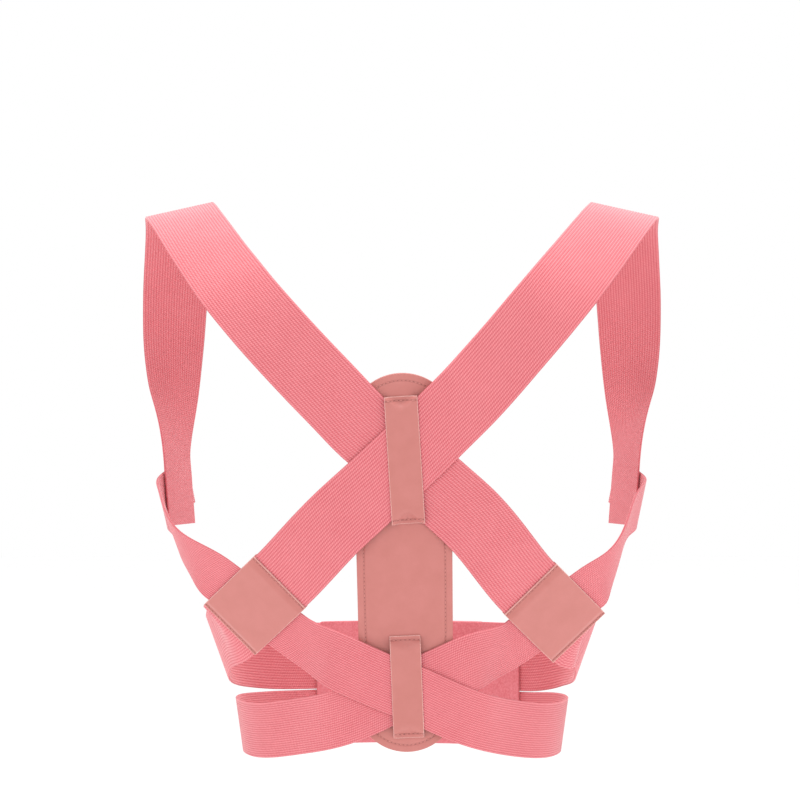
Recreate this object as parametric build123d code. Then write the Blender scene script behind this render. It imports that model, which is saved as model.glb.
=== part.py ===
from build123d import *
import math
import os

import numpy as np

# Back brace: two crossed elastic shoulder straps, two crossed side straps that become the waist band,
# a stiffened spine panel, leather keepers and patches, and a hook-and-loop closure at the front.
# Millimetres. +Z is up, +X is the wearer's right, +Y is the wearer's front.
# The origin is on the wearer's axis, at the middle of the waist band's height.

# --- the wearer's body, which the straps are laid on ------------------------------------------------------
waist_half_width = 112.0      # at the waist band
rib_half_width = 169.0        # at the armpit, rib_height above the waist band
rib_height = 146.0
rib_flare = 1.3               # how the half width grows between them, as a power of the height
side_line = 10.0              # how far forward of the axis the body is widest
waist_back = 82.0             # from the axis back to the skin at the waist
back_lean = 0.085             # how much further back the skin lies for each millimetre of height
waist_front = 86.0            # from the axis forward to the skin at the closure
closure_half_width = waist_half_width + 6.0   # half width of the plan curve that the closure follows
shoulder_top = 357.0          # height of the strap's middle line on the shoulder
shoulder_half_span = 154.0    # from the axis to the strap's middle line on the shoulder

# --- elastic webbing --------------------------------------------------------------------------------------
strap_width = 48.0            # shoulder straps
band_width = 38.0             # side straps and waist band
webbing = 1.6                 # thickness of both
ply_gap = 0.2                 # air between two layers that lie on each other
glue_line = 0.05              # between two faces that are glued or sewn flat together
sewn_gap = 0.35               # between a strap and what is sewn to it along a curve

# --- spine panel ------------------------------------------------------------------------------------------
panel_length = 254.0
panel_top_width = 65.5
panel_bottom_width = 62.0
panel_top_radius = 36.0
panel_bottom_radius = 34.0
panel_corner_radius = 12.0
panel_centre_x = 1.7
panel_centre_z = 119.5
panel_roll = 0.9              # degrees that the panel leans to the wearer's left at its top
lining_thickness = 0.8
foam_thickness = 2.4
cover_thickness = 1.0
stiffener_thickness = 1.0
stiffener_width = 30.0
stiffener_length = 206.0
pocket_gap = 0.2              # play of the stiffener in its pocket

# --- leather keepers and patches --------------------------------------------------------------------------
leather = 1.2
upper_keeper_size = (22.0, strap_width * math.sqrt(2.0) + 17.1)     # over two straps that cross squarely
upper_keeper_place = (1.7, 188.7, 3.6)      # x, z, lean in degrees
lower_keeper_size = (20.5, band_width + 31.0)
lower_keeper_place = (3.3, 37.2, 2.3)
keeper_tab = 4.0              # flat sewn end
keeper_ramp = 5.0             # length over which it climbs over the straps
upper_keeper_spread = 0.165   # how much sooner it climbs, in ramps, for each millimetre off its middle line
lower_keeper_spread = 0.08
patch_across = strap_width + 1.0      # across the shoulder strap
patch_along = band_width + 21.5       # along the shoulder strap: the side strap, its play and two seams
patch_seam = 3.0              # sewn strip at each end

# --- stitches ---------------------------------------------------------------------------------------------
stitch_pitch = 2.7
stitch_length = 1.9
stitch_width = 0.5
stitch_height = 0.3
panel_stitch_inset = 4.8
keeper_stitch_inset = 2.8
stitch_stand = 0.2            # how far the underside of a stitch stands off a keeper's sloping face

# --- where each shoulder strap is sewn to its side strap, under the arm -----------------------------------
armpit_out = 4.5              # outward of the shoulder's middle line
armpit_y = 49.5
armpit_down = 193.0           # down from the top of the shoulder
armpit_facing = (0.95, 0.31, -0.08)
armpit_slope = 17.0           # degrees that the side strap falls as it runs back from there

# --- where the straps cross, as x and height --------------------------------------------------------------
upper_crossing = (1.3, 188.5)
lower_crossing = (2.5, 35.0)
patch_places = {-1: (-98.0, 90.5), 1: (102.0, 85.0)}
patch_facing = (0.38, -0.82, -0.4)      # outward and sideways, back, and down
patch_skew = 79.0             # degrees between the two straps that cross in a patch
# Behind the armpit, where the side strap turns to face the back: inward, y, down from the top, facing.
armpit_turn = {
    -1: (
        (-10.7, 6.6, 206.3, (0.95, -0.05, -0.29)),
        (6.7, -47.9, 232.2, (0.86, -0.32, -0.4)),
    ),
    1: (
        (-8.0, 4.0, 206.9, (0.98, 0.08, -0.17)),
        (15.2, -52.0, 246.3, (0.77, -0.54, -0.35)),
    ),
}
# Stations that keep a strap flat where it passes through a patch:
flat_places = (-32.0, -27.0, -13.0, 0.0, 13.0, 27.0, 32.0)
# From the upper crossing: how far out and up the shoulder strap goes on its own shoulder's side, and how far
# out and down on the other. From the lower crossing, the same for a side strap, which falls to the waist.
shoulder_rise = {
    -1: ((0.0, 0.0), (14.0, 10.5), (28.0, 22.5), (42.0, 37.0)),
    1: ((0.0, 0.0), (13.5, 13.0), (27.0, 26.5), (42.0, 41.5)),
}
shoulder_fall = {
    -1: ((47.0, 41.0), (31.0, 26.0), (15.5, 12.5)),
    1: ((46.0, 42.5), (31.0, 28.5), (15.5, 14.5)),
}
band_fall = ((0.0, 0.0), (13.0, 5.5), (26.0, 11.5), (38.0, 16.5))
band_rise = ((40.0, 17.0), (28.0, 11.5), (14.0, 5.5))
# Further up: share of the way out to the shoulder, forward of the back's plane, down from the top, facing.
shoulder_climb = {
    -1: (
        (0.37, -2.4, 115.0, (0.0, -1.0, 0.0)),
        (0.682, 11.1, 62.0, (0.0, -1.0, 0.16)),
        (0.825, 33.5, 34.0, (0.08, -0.85, 0.5)),
    ),
    1: (
        (0.351, -2.5, 116.0, (0.0, -1.0, 0.0)),
        (0.653, 11.1, 62.0, (0.0, -1.0, 0.16)),
        (0.805, 33.5, 34.0, (0.08, -0.85, 0.5)),
    ),
}

# --- front closure ----------------------------------------------------------------------------------------
closure_fabric = 2.0
loop_pile = 0.8
hook_tape_thickness = 1.0
closure_height = strap_width + band_width + 3.0
closure_middle = 22.6         # height of the closure's middle line
band_lap = 12.0               # how far a band lies over the closure panel that it is sewn to
body_gap = 0.3                # between pieces on different bodies
left_panel_outer_edge = -60.0
flap_root = -1.5              # x of the line where the flap folds
flap_tip = 60.0
right_panel_outer_edge = 84.0
right_panel_inner_edge = -6.0

# --- the joint at each side -------------------------------------------------------------------------------
swing_cut = 0.5               # half of the gap between the back straps and the front bands
swing_heights = (-17.0, 77.0) # heights of the two points that the hinge line passes through
swing_clearance = 2.8         # how far outside the body it passes there

panel_thickness = lining_thickness + foam_thickness + cover_thickness
panel_gap = 0.6               # air over the panel's face, where its stitches stand
under_lift = panel_gap
over_lift = panel_gap + webbing + ply_gap
keeper_lift = over_lift + webbing + ply_gap
patch_strap_lift = leather + sewn_gap + glue_line
patch_tunnel_lift = patch_strap_lift + webbing + ply_gap
patch_cover_lift = patch_tunnel_lift + webbing + sewn_gap
armpit_flat_down = band_width / 2.0 + 6.0     # half of the flat stretch of each strap where the two are sewn
armpit_flat_back = strap_width / 2.0 + 3.0


def unit(vector):
    """The vector scaled to length one."""
    vector = np.asarray(vector, float)
    return vector / np.linalg.norm(vector)


# --- places on the body -----------------------------------------------------------------------------------
def half_width(z):
    """Half width of the body at a height: the waist's, growing with a power of the height to the ribs."""
    rise = max(z, 0.0) / rib_height
    return waist_half_width + (rib_half_width - waist_half_width) * rise ** rib_flare


def on_body(side, angle, z, lift=0.0):
    """A station on the body's elliptic section: angle is 0 at the spine, 90 at the side, 180 at the front."""
    turn = math.radians(angle)
    wide = half_width(z)
    widening = (half_width(z + 1.0) - half_width(z - 1.0)) / 2.0
    if angle <= 90.0:
        deep = side_line + waist_back + back_lean * z
        deepening = back_lean
    else:
        deep = waist_front - side_line
        deepening = 0.0
    place = np.array([side * wide * math.sin(turn), side_line - deep * math.cos(turn), z])
    slope = math.sin(turn) ** 2 * widening / wide + math.cos(turn) ** 2 * deepening / deep
    facing = unit([side * math.sin(turn) / wide, -math.cos(turn) / deep, -slope])
    return place + facing * lift, facing


def body_angle(x, z):
    """The angle at which the back of the body's section passes through x."""
    return math.degrees(math.asin(abs(x) / half_width(z)))


def on_back(x, z, lift=0.0):
    """A station on the back of the body at a given x and height."""
    return on_body(math.copysign(1.0, x), body_angle(x, z), z, lift)


def on_panel(x, z, lift=0.0):
    """A station above the outer face of the spine panel."""
    facing = unit([0.0, -1.0, -back_lean])
    skin = np.array([x, -(waist_back + back_lean * z), z])
    return skin + facing * (panel_thickness + lift), facing


def on_front(x, z, lift=0.0):
    """A station on the upright curve that the closure follows."""
    deep = waist_front - side_line
    reach = deep * math.sqrt(1.0 - (x / closure_half_width) ** 2)
    facing = unit([x / closure_half_width ** 2, reach / deep ** 2, 0.0])
    return np.array([x, side_line + reach, z]) + facing * lift, facing


# --- routes and the solids along them ---------------------------------------------------------------------
def natural_spline(knots, values, places):
    """Natural cubic spline through the rows of values at the knots, read at the given places."""
    step = np.diff(knots)
    slope = np.diff(values, axis=0) / step[:, None]
    count = len(knots)
    system = np.eye(count)
    target = np.zeros_like(values)
    for i in range(1, count - 1):
        system[i, i - 1:i + 2] = (step[i - 1], 2.0 * (step[i - 1] + step[i]), step[i])
        target[i] = 6.0 * (slope[i] - slope[i - 1])
    bend = np.linalg.solve(system, target)
    cell = np.clip(np.searchsorted(knots, places, side="right") - 1, 0, count - 2)
    ahead = (knots[cell + 1] - places)[:, None]
    behind = (places - knots[cell])[:, None]
    wide = step[cell][:, None]
    cubic = (bend[cell] * ahead ** 3 + bend[cell + 1] * behind ** 3) / (6.0 * wide)
    left = (values[cell] / wide - bend[cell] * wide / 6.0) * ahead
    right = (values[cell + 1] / wide - bend[cell + 1] * wide / 6.0) * behind
    return cubic + left + right


class Route:
    """The middle line of a strap's inner face and the way it faces, on a spline through chosen stations."""

    def __init__(self, stations):
        places = np.array([place for place, facing in stations])
        facings = np.array([facing for place, facing in stations])
        knots = np.concatenate([[0.0], np.cumsum(np.linalg.norm(np.diff(places, axis=0), axis=1))])
        fine = np.linspace(0.0, knots[-1], 3001)
        self.places = natural_spline(knots, places, fine)
        self.facings = natural_spline(knots, facings, fine)
        steps = np.linalg.norm(np.diff(self.places, axis=0), axis=1)
        self.run = np.concatenate([[0.0], np.cumsum(steps)])
        self.length = self.run[-1]

    def place(self, distance):
        return np.array([np.interp(distance, self.run, self.places[:, k]) for k in range(3)])

    def frame(self, distance):
        """Place, and unit vectors ahead, sideways and outward, at a distance along the route."""
        before = max(distance - 0.5, 0.0)
        after = min(distance + 0.5, self.length)
        ahead = unit(self.place(after) - self.place(before))
        facing = np.array([np.interp(distance, self.run, self.facings[:, k]) for k in range(3)])
        outward = unit(facing - ahead * facing.dot(ahead))
        return self.place(distance), ahead, np.cross(ahead, outward), outward

    def nearest(self, point):
        """The distance along the route at which it passes nearest to a point."""
        return self.run[np.argmin(np.linalg.norm(self.places - np.asarray(point), axis=1))]

    def crossing(self, origin, normal, side):
        """The distance along the route at which it crosses a plane low on one side of the body."""
        height = (self.places - np.asarray(origin)).dot(np.asarray(normal))
        change = np.nonzero(np.diff(np.sign(height)))[0]
        low = [k for k in change if self.places[k, 0] * side > 0.0 and self.places[k, 2] < rib_height / 2.0]
        return self.run[low[0]]


# --- the patches' frames: a flat place on each side of the lower back -------------------------------------
def patch_frame(side):
    """Centre of the patch on the skin, the shoulder strap's way up, the side strap's inward, and outward."""
    centre = on_back(*patch_places[side])[0]
    outward = unit([side * patch_facing[0], patch_facing[1], patch_facing[2]])
    crossing, facing = on_panel(*upper_crossing)
    up = unit(crossing - centre)
    up = unit(up - outward * up.dot(outward))
    inward = np.cross(outward, up) * side
    turn = math.radians(90.0 - patch_skew)
    return centre, up, unit(inward * math.cos(turn) + up * math.sin(turn)), outward


def on_patch(side, along_strap, along_band, lift):
    """A station in the patch's flat frame."""
    centre, up, inward, outward = patch_frame(side)
    return centre + up * along_strap + inward * along_band + outward * lift, outward


def on_shoulder(side, inward, y, down, facing):
    """A station on the shoulder, measured inward and down from the top of the strap."""
    place = [side * (shoulder_half_span - inward), y, shoulder_top - down]
    return np.array(place), unit([side * facing[0], facing[1], facing[2]])


def on_climb(side, share, forward, down, facing):
    """A station between the back and the shoulder, measured forward of the plane of the spine panel."""
    inward = shoulder_half_span * (1.0 - share)
    back = waist_back + back_lean * (shoulder_top - down)
    return on_shoulder(side, inward, forward - back, down, facing)


def on_armpit(side, down, back, lift=0.0):
    """A station in the flat place where the shoulder strap and the side strap are sewn together."""
    centre = np.array([side * (shoulder_half_span + armpit_out), armpit_y, shoulder_top - armpit_down])
    outward = unit([side * armpit_facing[0], armpit_facing[1], armpit_facing[2]])
    rearward = unit(np.array([side * armpit_facing[1], -armpit_facing[0], 0.0]))
    upright = np.cross(rearward, outward) * side
    turn = math.radians(armpit_slope)
    along_band = rearward * math.cos(turn) - upright * math.sin(turn)
    return centre - upright * down + along_band * back + outward * lift, outward


def closure_stations(side, height):
    """The last stations of a band, where it lies on the closure panel of its side."""
    edge = abs(left_panel_outer_edge if side < 0 else right_panel_outer_edge)
    lift = left_bands_lift if side < 0 else right_bands_lift
    reaches = np.linspace(edge - band_lap, edge + 2.0, 4)
    return [on_front(side * reach, height, lift) for reach in reaches]


def on_crossing(place, lift, toward, reaches, fall=1.0):
    """Stations over the panel, each so far out to one side of a crossing and so far up or down from it."""
    x, z = place
    return [on_panel(x + toward * out, z + fall * rise, lift) for out, rise in reaches]


def shoulder_stations(side, crossing_lift):
    """The shoulder strap over one shoulder, from the opposite front closure to its own armpit."""
    other = -side
    return closure_stations(other, upper_band_z) + [
        on_body(other, 112.0, 48.0),
        on_body(other, 88.0, 55.0),
        on_body(other, 67.0, 68.0),
    ] + [
        on_patch(other, along, 0.0, patch_strap_lift) for along in flat_places
    ] + on_crossing(
        upper_crossing, crossing_lift, other, shoulder_fall[side], -1.0
    ) + on_crossing(
        upper_crossing, crossing_lift, side, shoulder_rise[side]
    ) + [
        on_climb(side, *place) for place in shoulder_climb[side]
    ] + [
        on_shoulder(side, 2.0, -30.0, 0.0, (0.2, -0.22, 0.95)),
        on_shoulder(side, -2.0, 8.0, 4.0, (0.25, 0.3, 0.92)),
        on_shoulder(side, -6.0, 40.0, 36.0, (0.3, 0.85, 0.45)),
        on_shoulder(side, -9.0, 56.0, 80.0, (0.45, 0.88, 0.12)),
        on_shoulder(side, -9.0, 60.0, 125.0, (0.75, 0.66, 0.0)),
    ] + [
        on_armpit(side, reach, 0.0) for reach in np.linspace(-armpit_flat_down, armpit_flat_down, 5)
    ]


def band_stations(side, crossing_lift):
    """The side strap from one armpit through its own patch and the lower crossing to the opposite closure."""
    other = -side
    return [
        on_armpit(side, 0.0, back, webbing + sewn_gap)
        for back in np.linspace(-armpit_flat_back, armpit_flat_back, 5)
    ] + [
        on_shoulder(side, *place) for place in armpit_turn[side]
    ] + [
        on_patch(side, 0.0, along, patch_tunnel_lift) for along in flat_places
    ] + on_crossing(
        lower_crossing, crossing_lift, side, band_rise
    ) + on_crossing(
        lower_crossing, crossing_lift, other, band_fall, -1.0
    ) + [
        on_back(other * 68.0, 8.0, 1.4 * crossing_lift),
        on_body(other, 62.0, 1.5, crossing_lift / 2.0),
        on_body(other, 90.0, 2.0),
        on_body(other, 112.0, 1.0),
    ] + closure_stations(other, waist_band_z)[::-1]


closure_top = closure_middle + closure_height / 2.0
upper_band_z = closure_top - 1.0 - strap_width / 2.0
waist_band_z = upper_band_z - strap_width / 2.0 - 0.5 - band_width / 2.0
loop_bottom = closure_fabric + glue_line
hook_bottom = loop_bottom + loop_pile + body_gap
left_panel_lift = hook_bottom + hook_tape_thickness + glue_line
left_bands_lift = left_panel_lift + closure_fabric + ply_gap
right_bands_lift = closure_fabric + ply_gap

shoulder_routes = {
    1: Route(shoulder_stations(1, over_lift)),
    -1: Route(shoulder_stations(-1, under_lift)),
}
band_routes = {
    -1: Route(band_stations(-1, over_lift)),
    1: Route(band_stations(1, under_lift)),
}

# --- solids along the routes ------------------------------------------------------------------------------
def ribbon(route, start, end, width, inner, outer, spacing=7.0):
    """A flat strip along a route, from inner to outer above it: a section every few millimetres."""
    count = max(2, math.ceil((end - start) / spacing) + 1)
    sections = []
    for distance in np.linspace(start, end, count):
        place, ahead, sideways, outward = route.frame(distance)
        low = inner(distance) if callable(inner) else inner
        high = outer(distance) if callable(outer) else outer
        corners = [(-1, low), (1, low), (1, high), (-1, high)]
        points = [place + sideways * hand * width / 2.0 + outward * lift for hand, lift in corners]
        sections.append(Wire.make_polygon([Vector(*point) for point in points], close=True))
    return Solid.make_loft(sections, ruled=True)


def stitch(place, along, outward):
    """One stitch: a short bar that lies on a face."""
    plane = Plane(origin=Vector(*place), x_dir=Vector(*along), z_dir=Vector(*outward))
    bar = Box(stitch_length, stitch_width, stitch_height, align=(Align.CENTER, Align.CENTER, Align.MIN))
    return plane * bar


def stitch_line(route, start, end, lift):
    """Stitches in a line between two places, each a distance along the route and an offset sideways."""
    (from_run, from_side), (to_run, to_side) = start, end
    reach = math.hypot(to_run - from_run, to_side - from_side)
    count = max(1, int(reach / stitch_pitch))
    bars = []
    for index in range(count):
        share = (index + 0.5) / count
        run = from_run + (to_run - from_run) * share
        offset = from_side + (to_side - from_side) * share
        place, ahead, sideways, outward = route.frame(run)
        along = ahead * (to_run - from_run) + sideways * (to_side - from_side)
        bars.append(stitch(place + sideways * offset + outward * lift, along, outward))
    return bars


def step_between(start, end, low, high):
    """A level that is low up to start and high from end on, with a smooth climb between."""
    def level(distance):
        share = min(max((distance - start) / (end - start), 0.0), 1.0)
        return low + (high - low) * share * share * (3.0 - 2.0 * share)
    return level


# --- spine panel ------------------------------------------------------------------------------------------
panel_skin, panel_outward = on_panel(panel_centre_x, panel_centre_z, -panel_thickness)
panel_upright = np.cross(panel_outward, (1.0, 0.0, 0.0))
panel_turn = math.radians(panel_roll)
panel_across = np.array([1.0, 0.0, 0.0]) * math.cos(panel_turn) + panel_upright * math.sin(panel_turn)
panel_plane = Plane(origin=Vector(*panel_skin), x_dir=Vector(*panel_across), z_dir=Vector(*panel_outward))


def panel_outline(inset=0.0):
    """The panel's face: two long sides that close a little towards the bottom, and a wide arc at each end."""
    top = panel_length / 2.0 - inset
    bottom = -panel_length / 2.0 + inset
    top_half = panel_top_width / 2.0 - inset
    bottom_half = panel_bottom_width / 2.0 - inset
    top_radius = panel_top_radius - inset
    bottom_radius = panel_bottom_radius - inset
    top_shoulder = top - top_radius + math.sqrt(top_radius ** 2 - top_half ** 2)
    bottom_shoulder = bottom + bottom_radius - math.sqrt(bottom_radius ** 2 - bottom_half ** 2)
    top_arc = ThreePointArc((-top_half, top_shoulder), (0, top), (top_half, top_shoulder))
    right_side = Line((top_half, top_shoulder), (bottom_half, bottom_shoulder))
    bottom_arc = ThreePointArc((bottom_half, bottom_shoulder), (0, bottom), (-bottom_half, bottom_shoulder))
    left_side = Line((-bottom_half, bottom_shoulder), (-top_half, top_shoulder))
    face = make_face([top_arc, right_side, bottom_arc, left_side])
    return fillet(face.vertices(), max(panel_corner_radius - inset, 1.0))


def panel_layer(face, bottom, thickness):
    """A sheet of the panel, from bottom to bottom + thickness above the skin."""
    return panel_plane * Pos(0, 0, bottom) * extrude(face, thickness)


def spine_panel():
    """Lining, foam with a pocket for the stiffener, the stiffener, the cover and its edge stitching."""
    outline = panel_outline()
    foam_bottom = lining_thickness
    cover_bottom = foam_bottom + foam_thickness
    stay_bottom = foam_bottom + (foam_thickness - stiffener_thickness) / 2.0
    stay_face = RectangleRounded(stiffener_width, stiffener_length, stiffener_width * 0.3)
    pocket_face = offset(stay_face, pocket_gap)
    foam = panel_layer(outline, foam_bottom, foam_thickness)
    pocket = panel_layer(pocket_face, stay_bottom - pocket_gap, stiffener_thickness + 2.0 * pocket_gap)
    seam = panel_outline(panel_stitch_inset).face().outer_wire()
    count = round(seam.length / stitch_pitch)
    bars = []
    for index in range(count):
        at = seam.position_at(index / count)
        along = seam.tangent_at(index / count)
        plane = Plane(origin=(at.X, at.Y, panel_thickness + glue_line), x_dir=along, z_dir=(0, 0, 1))
        bar = Box(stitch_length, stitch_width, stitch_height, align=(Align.CENTER, Align.CENTER, Align.MIN))
        bars.append(panel_plane * plane * bar)
    return {
        "spine_panel_lining": panel_layer(outline, 0.0, lining_thickness),
        "spine_panel_foam": foam - pocket,
        "spine_panel_stiffener": panel_layer(stay_face, stay_bottom, stiffener_thickness),
        "spine_panel_cover": panel_layer(outline, cover_bottom, cover_thickness),
        "spine_panel_edge_stitching": Compound(children=bars),
    }


def keeper(name, size, place, spread):
    """A leather strip over a crossing: a bridge over both straps, and ends sewn to the panel between them."""
    width, length = size
    x, z, lean = place
    base, outward = on_panel(x, z)
    upright = np.cross(outward, (1.0, 0.0, 0.0))
    turn = math.radians(lean)
    along = upright * math.cos(turn) - np.array([1.0, 0.0, 0.0]) * math.sin(turn)
    sideways = np.cross(along, outward)

    def place_at(across, reach, lift):
        share = (length / 2.0 - abs(reach) - keeper_tab) / keeper_ramp + abs(across) * spread
        share = min(max(share, 0.0), 1.0)
        climb = keeper_lift * share * share * (3.0 - 2.0 * share)
        return base + along * reach + sideways * across + outward * (climb + lift)

    columns = np.linspace(-width / 2.0, width / 2.0, 9)
    rows = np.linspace(-length / 2.0, length / 2.0, 45)
    sections = []
    for reach in rows:
        points = [place_at(across, reach, glue_line) for across in columns]
        points += [place_at(across, reach, glue_line + leather) for across in columns[::-1]]
        sections.append(Wire.make_polygon([Vector(*point) for point in points], close=True))
    bars = []
    inset_row = int(keeper_stitch_inset / (rows[1] - rows[0]))
    for near, far in (rows[inset_row:inset_row + 2], rows[::-1][inset_row:inset_row + 2][::-1]):
        for left, right in zip(columns[:-1], columns[1:]):
            corners = [
                place_at(across, reach, glue_line + leather)
                for reach in (near, far) for across in (left, right)
            ]
            bar_along = unit(corners[1] + corners[3] - corners[0] - corners[2])
            up_ramp = corners[2] + corners[3] - corners[0] - corners[1]
            bar_out = unit(np.cross(bar_along, up_ramp))
            bars.append(stitch(sum(corners) / 4.0 + bar_out * stitch_stand, bar_along, bar_out))
    return {name: Solid.make_loft(sections, ruled=True), name + "_stitching": Compound(children=bars)}


# --- straps, patches and their seams ----------------------------------------------------------------------
def side_name(side):
    return "left" if side < 0 else "right"


def swing_axis(side):
    """A point on the side's hinge line and the line's direction, upwards."""
    bottom, top = [np.array([side * (half_width(z) + swing_clearance), side_line, z]) for z in swing_heights]
    return top, unit(top - bottom)


def side_cut(route, side):
    """Distance along a route at which it passes the hinge line of a side."""
    return route.crossing(swing_axis(side)[0], (0.0, 1.0, 0.0), side)


def strap_pair(side):
    """The shoulder strap over a shoulder and the side strap from its armpit, cut at the opposite hinge."""
    shoulder = shoulder_routes[side]
    band = band_routes[side]
    other = side_name(-side)
    own = side_name(side)
    shoulder_cut = side_cut(shoulder, -side)
    band_cut = side_cut(band, -side)
    bar_lift = webbing + glue_line
    seams = []
    lap_run = shoulder.nearest(band.place(band.nearest(shoulder.place(shoulder.length - 25.0))))
    centre = band.nearest(shoulder.place(lap_run))
    half_long = strap_width / 2.0 - 5.0
    half_wide = band_width / 2.0 - 5.0
    corners = [(-1, -1), (1, -1), (1, 1), (-1, 1)]
    box = [(centre + half_long * u, half_wide * v) for u, v in corners]
    for index in range(4):
        seams += stitch_line(band, box[index], box[(index + 1) % 4], bar_lift)
    return {
        "shoulder_strap_" + own: ribbon(
            shoulder, shoulder_cut + swing_cut, shoulder.length, strap_width, 0.0, webbing),
        "upper_front_band_" + other: ribbon(
            shoulder, 0.0, shoulder_cut - swing_cut, strap_width, 0.0, webbing),
        "side_strap_" + own: ribbon(band, 0.0, band_cut - swing_cut, band_width, 0.0, webbing),
        "waist_front_band_" + other: ribbon(
            band, band_cut + swing_cut, band.length, band_width, 0.0, webbing),
        "armpit_stitching_" + own: Compound(children=seams),
    }


def patch(side):
    """The leather patch of one side, its backing against the body, and the two seams of the patch."""
    route = shoulder_routes[-side]
    centre = route.nearest(on_patch(side, 0.0, 0.0, patch_strap_lift)[0])
    start = centre - patch_along / 2.0
    end = centre + patch_along / 2.0
    bridge = patch_cover_lift - patch_strap_lift

    def under(distance):
        from_end = min(distance - start, end - distance)
        return step_between(patch_seam, patch_seam + 0.8, webbing + glue_line, bridge)(from_end)

    cover = ribbon(route, start, end, patch_across, under, bridge + leather, spacing=1.0)
    backing = ribbon(route, start, end, patch_across, -leather - sewn_gap, -sewn_gap, spacing=2.0)
    bars = []
    half = patch_across / 2.0 - 2.0
    for run in (start + patch_seam / 2.0, end - patch_seam / 2.0):
        bars += stitch_line(route, (run, -half), (run, half), bridge + leather + glue_line)
    own = side_name(side)
    return {
        "patch_" + own: cover,
        "patch_backing_" + own: backing,
        "patch_stitching_" + own: Compound(children=bars),
    }


# --- front closure ----------------------------------------------------------------------------------------
def closure_route(start_x, end_x):
    """The closure's curve on the skin between two x, walked from start to end with its outer side outward."""
    return Route([on_front(x, closure_middle) for x in np.linspace(start_x, end_x, 13)])


def closure_sheet(start_x, end_x, height, inner, outer):
    """A curved sheet of the closure. The route is walked towards +X, which keeps its outer side outward."""
    route = closure_route(start_x, end_x)
    return ribbon(route, 0.0, route.length, height, inner, outer)


def closure():
    """Inner panel with its loop face, outer panel with its peeling end, hook tape, and their seams."""
    left_outer = left_panel_lift + closure_fabric
    pieces = {
        "closure_panel_right": closure_sheet(
            right_panel_inner_edge, right_panel_outer_edge, closure_height, 0.0, closure_fabric),
        "closure_loop_pad": closure_sheet(
            right_panel_inner_edge + 2.0, flap_tip + 5.0, closure_height - 6.0,
            loop_bottom, loop_bottom + loop_pile),
        "closure_panel_left": closure_sheet(
            left_panel_outer_edge, flap_root - swing_cut, closure_height, left_panel_lift, left_outer),
        "closure_flap": closure_sheet(
            flap_root + swing_cut, flap_tip, closure_height, left_panel_lift, left_outer),
        "closure_hook_tape": closure_sheet(
            flap_root + 10.0, flap_tip - 3.0, closure_height - 10.0,
            hook_bottom, hook_bottom + hook_tape_thickness),
    }
    for side in (-1, 1):
        bars = []
        upper = shoulder_routes[-side]
        waist = band_routes[-side]
        for run in (3.0, band_lap - 3.0):
            half = strap_width / 2.0 - 2.0
            bars += stitch_line(upper, (run, -half), (run, half), webbing + glue_line)
            half = band_width / 2.0 - 2.0
            along = waist.length - run
            bars += stitch_line(waist, (along, -half), (along, half), webbing + glue_line)
        pieces["band_end_stitching_" + side_name(side)] = Compound(children=bars)
    route = closure_route(flap_root + 10.0, flap_tip)
    half = closure_height / 2.0 - 6.5
    rim = [(2.0, -half), (route.length - 4.5, -half), (route.length - 4.5, half), (2.0, half)]
    bars = []
    for index in range(4):
        bars += stitch_line(route, rim[index], rim[(index + 1) % 4], left_outer + glue_line)
    pieces["hook_tape_stitching"] = Compound(children=bars)
    return pieces


nodes = {}
nodes.update(spine_panel())
nodes.update(keeper("upper_keeper", upper_keeper_size, upper_keeper_place, upper_keeper_spread))
nodes.update(keeper("lower_keeper", lower_keeper_size, lower_keeper_place, lower_keeper_spread))
for hand in (-1, 1):
    nodes.update(strap_pair(hand))
    nodes.update(patch(hand))
nodes.update(closure())

os.makedirs("parts", exist_ok=True)
for name, shape in nodes.items():
    export_step(shape, "parts/" + name + ".step")
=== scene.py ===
import math

import bmesh
import bpy
import numpy as np
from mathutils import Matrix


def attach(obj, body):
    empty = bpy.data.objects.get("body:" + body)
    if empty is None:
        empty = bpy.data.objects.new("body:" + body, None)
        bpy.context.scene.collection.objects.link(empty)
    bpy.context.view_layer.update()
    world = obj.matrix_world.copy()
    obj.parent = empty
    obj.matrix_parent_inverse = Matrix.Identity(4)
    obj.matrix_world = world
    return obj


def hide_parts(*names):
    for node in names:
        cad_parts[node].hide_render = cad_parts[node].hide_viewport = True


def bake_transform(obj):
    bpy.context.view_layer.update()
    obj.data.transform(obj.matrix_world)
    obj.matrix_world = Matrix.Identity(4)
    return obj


# Back brace: ribbed elastic straps that cross twice over a stiffened leather-look spine panel, with leather
# keepers and patches and a hook-and-loop closure at the front. Shapes are worked out in millimetres.

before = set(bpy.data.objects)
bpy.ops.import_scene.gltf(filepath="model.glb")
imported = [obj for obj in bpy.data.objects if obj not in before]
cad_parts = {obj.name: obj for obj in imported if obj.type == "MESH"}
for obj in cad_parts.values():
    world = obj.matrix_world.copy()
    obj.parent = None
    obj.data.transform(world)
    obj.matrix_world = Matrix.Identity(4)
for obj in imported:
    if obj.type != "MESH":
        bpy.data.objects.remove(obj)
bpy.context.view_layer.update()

MM = 0.001

# --- the wearer's body, which the straps are laid on ---
waist_half_width = 112.0
rib_half_width = 169.0
rib_height = 146.0
rib_flare = 1.3
side_line = 10.0
waist_back = 82.0
back_lean = 0.085
waist_front = 86.0
closure_half_width = waist_half_width + 6.0
shoulder_top = 357.0
shoulder_half_span = 154.0

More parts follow.
